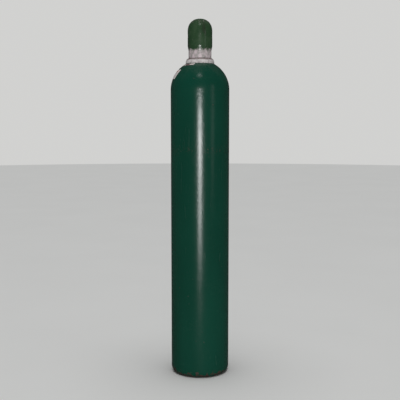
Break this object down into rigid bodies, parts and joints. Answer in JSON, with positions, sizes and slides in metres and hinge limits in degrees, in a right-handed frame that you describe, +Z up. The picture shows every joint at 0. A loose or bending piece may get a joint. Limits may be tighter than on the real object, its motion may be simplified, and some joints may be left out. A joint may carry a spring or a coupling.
{
  "type": "oxygen cylinder",
  "caption": "Tall steel gas cylinder with a handwheel valve under a domed screw-on protection cap; holds high-pressure oxygen.",
  "frame": {"origin": "centre of the foot, on the floor", "axes": "+Z up along the cylinder's axis, -Y towards the valve's outlet, +X to the right seen from the front"},
  "size_m": [0.235, 0.235, 1.43],
  "materials": {
    "body_paint": "gloss, dark green",
    "cap_paint": "gloss, olive green, worn pale at the skirt",
    "neck_metal": "worn pale grey",
    "brass": "forged and machined",
    "copper": "soft copper",
    "steel": "zinc plated",
    "cast_aluminium": "die cast",
    "white_plastic": "white",
    "label": "white printed film"
  },
  "bodies": {
    "cylinder": {"cylinder_shell": "body_paint", "neck_ring": "neck_metal", "contents_label": "label", "batch_strip": "label", "valve_body": "brass", "inlet_tape": "white_plastic", "bonnet_nut": "brass", "thrust_washer": "brass", "stem_packing": "white_plastic", "gland_ring": "brass", "safety_plug": "brass", "burst_disc": "copper", "disc_gasket": "copper"},
    "stem": {"upper_stem": "brass", "handwheel": "cast_aluminium", "wheel_spring": "steel", "spring_washer": "steel", "wheel_nut": "steel"},
    "seat": {"seat_plug": "brass", "seat_insert": "white_plastic"},
    "cap": {"protection_cap": "cap_paint"}
  },
  "joints": [
    {"name": "cap_lift", "type": "slide", "parent": "cylinder", "child": "cap", "axis": [0, 0, 1], "range_m": [0, 0.16]},
    {"name": "handwheel_turn", "type": "hinge", "parent": "cylinder", "child": "stem", "pos_m": [0, 0, 1.371], "axis": [0, 0, 1], "range_deg": [0, 900]},
    {"name": "seat_plug_lift", "type": "slide", "parent": "stem", "child": "seat", "axis": [0, 0, 1], "range_m": [0, 0.0045]}
  ],
  "couplings": [
    {"joint": "seat_plug_lift", "follows": "handwheel_turn", "m_per_rad": 0.000286}
  ]
}
